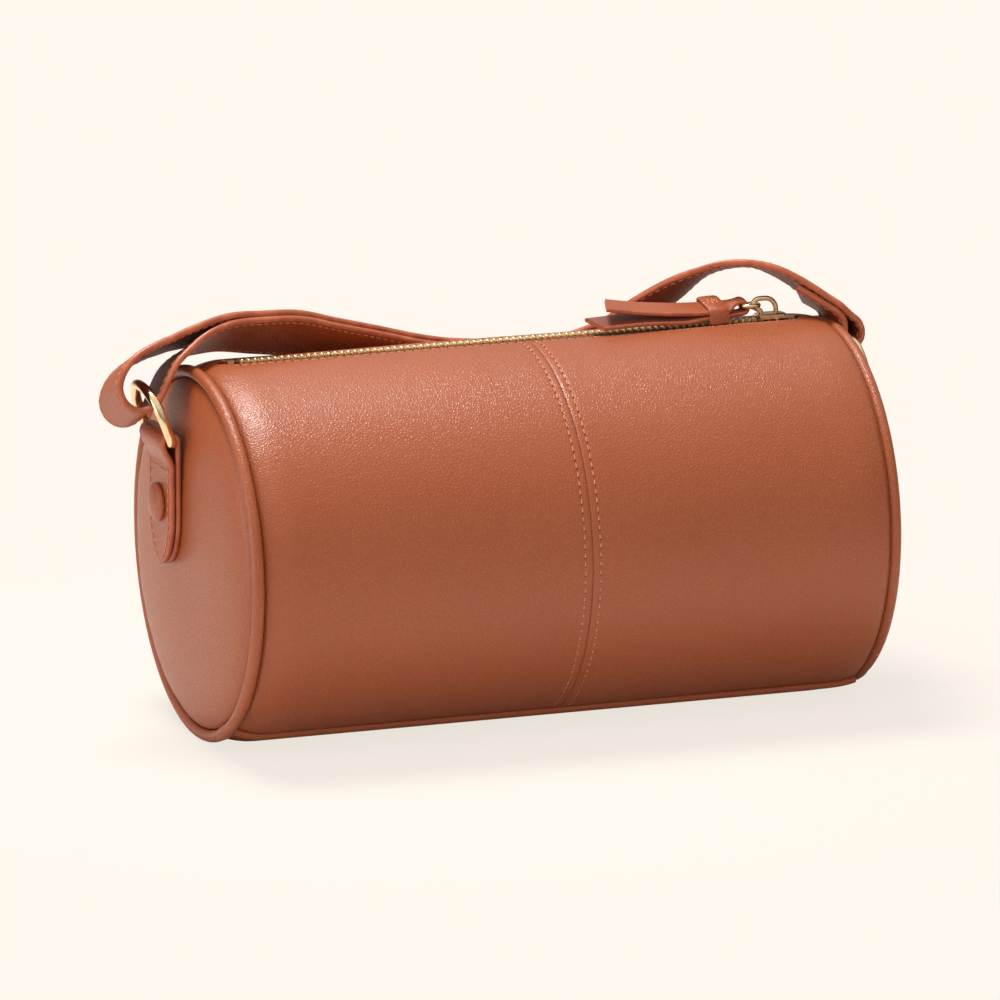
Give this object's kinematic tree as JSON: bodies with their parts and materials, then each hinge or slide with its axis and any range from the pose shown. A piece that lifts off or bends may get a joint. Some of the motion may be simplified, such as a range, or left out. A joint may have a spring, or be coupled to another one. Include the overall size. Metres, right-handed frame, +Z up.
{
  "type": "barrel bag",
  "caption": "Small structured barrel bag in pebbled leather with piped ends, a zip along the top, rings in tabs at the ends and a flat leather strap.",
  "frame": {"origin": "on the ground under the middle of the barrel, in the middle of the flat base", "axes": "+X along the barrel towards the end where the zip closes, -Y towards the front, +Z up"},
  "size_m": [0.287, 0.136, 0.1562],
  "materials": {
    "leather": "fine pebbled cognac leather, semi-gloss",
    "lining": "woven cotton lining",
    "padding": "soft foam padding",
    "board": "fibre board stiffener",
    "cord": "twisted filler cord",
    "tape": "seam tape",
    "zip_tape": "woven zip tape",
    "zip_metal": "polished brass teeth",
    "gold_metal": "pale gold plated metal"
  },
  "bodies": {
    "bag": {"front_panel_left": "leather", "front_panel_right": "leather", "back_panel_left": "leather", "back_panel_right": "leather", "base_panel": "leather", "base_welt_front": "leather", "base_welt_back": "leather", "end_panel_left": "leather", "end_panel_right": "leather", "end_piping_left": "leather", "end_piping_right": "leather", "piping_cord_left": "cord", "piping_cord_right": "cord", "end_padding_left": "padding", "end_padding_right": "padding", "end_board_left": "board", "end_board_right": "board", "barrel_stiffener": "board", "base_board": "board", "seam_tape_front": "tape", "seam_tape_back": "tape", "barrel_lining": "lining", "end_lining_left": "lining", "end_lining_right": "lining", "zip_tape_front": "zip_tape", "zip_tape_back": "zip_tape", "zip_teeth_front": "zip_metal", "zip_teeth_back": "zip_metal", "zip_bottom_stop": "zip_metal", "zip_top_stop_front": "zip_metal", "zip_top_stop_back": "zip_metal", "ring_tab_left": "leather", "ring_tab_right": "leather", "stud_cap_left": "leather", "stud_cap_right": "leather", "stud_post_left": "gold_metal", "stud_post_right": "gold_metal", "stud_washer_left": "gold_metal", "stud_washer_right": "gold_metal"},
    "zip_slider": {"slider_body": "gold_metal", "slider_bail": "gold_metal"},
    "pull_link": {"jump_ring": "gold_metal"},
    "pull": {"zip_pull": "leather", "pull_keeper": "leather"},
    "left_ring": {"ring_left": "gold_metal", "strap_loop_left": "leather"},
    "right_ring": {"ring_right": "gold_metal", "strap_loop_right": "leather"},
    "strap": {"strap_span": "leather", "strap_tail_left": "leather", "strap_neck_left_inner": "leather", "strap_neck_left_outer": "leather", "strap_neck_right_outer": "leather", "strap_neck_right_tail": "leather"}
  },
  "joints": [
    {"name": "zip_slide", "type": "slide", "parent": "bag", "child": "zip_slider", "axis": [-1, 0, 0], "range_m": [0, 0.198], "deforming": ["zip_teeth_front", "zip_teeth_back", "zip_tape_front", "zip_tape_back"]},
    {"name": "pull_ring_swing", "type": "hinge", "parent": "zip_slider", "child": "pull_link", "pos_m": [0.0947, 0.00695, 0.13897], "axis": [0, 0.9954, -0.0958], "range_deg": [0, 25]},
    {"name": "zip_pull_swing", "type": "hinge", "parent": "pull_link", "child": "pull", "pos_m": [0.0881, 0.00695, 0.13897], "axis": [0, 0.9954, -0.0958], "range_deg": [0, 35]},
    {"name": "ring_left_swing", "type": "hinge", "parent": "bag", "child": "left_ring", "pos_m": [-0.13195, 0.0064, 0.1088], "axis": [0, -1, 0], "range_deg": [-25, 60], "deforming": ["strap_loop_left"]},
    {"name": "ring_right_swing", "type": "hinge", "parent": "bag", "child": "right_ring", "pos_m": [0.13195, 0.0064, 0.1088], "axis": [0, 1, 0], "range_deg": [0, 70], "deforming": ["strap_loop_right"]},
    {"name": "strap_swing", "type": "hinge", "parent": "bag", "child": "strap", "pos_m": [0, 0.0064, 0.1198], "axis": [1, 0, 0], "range_deg": [0, 45], "deforming": ["strap_neck_left_inner", "strap_neck_left_outer", "strap_neck_right_outer", "strap_neck_right_tail"]}
  ]
}
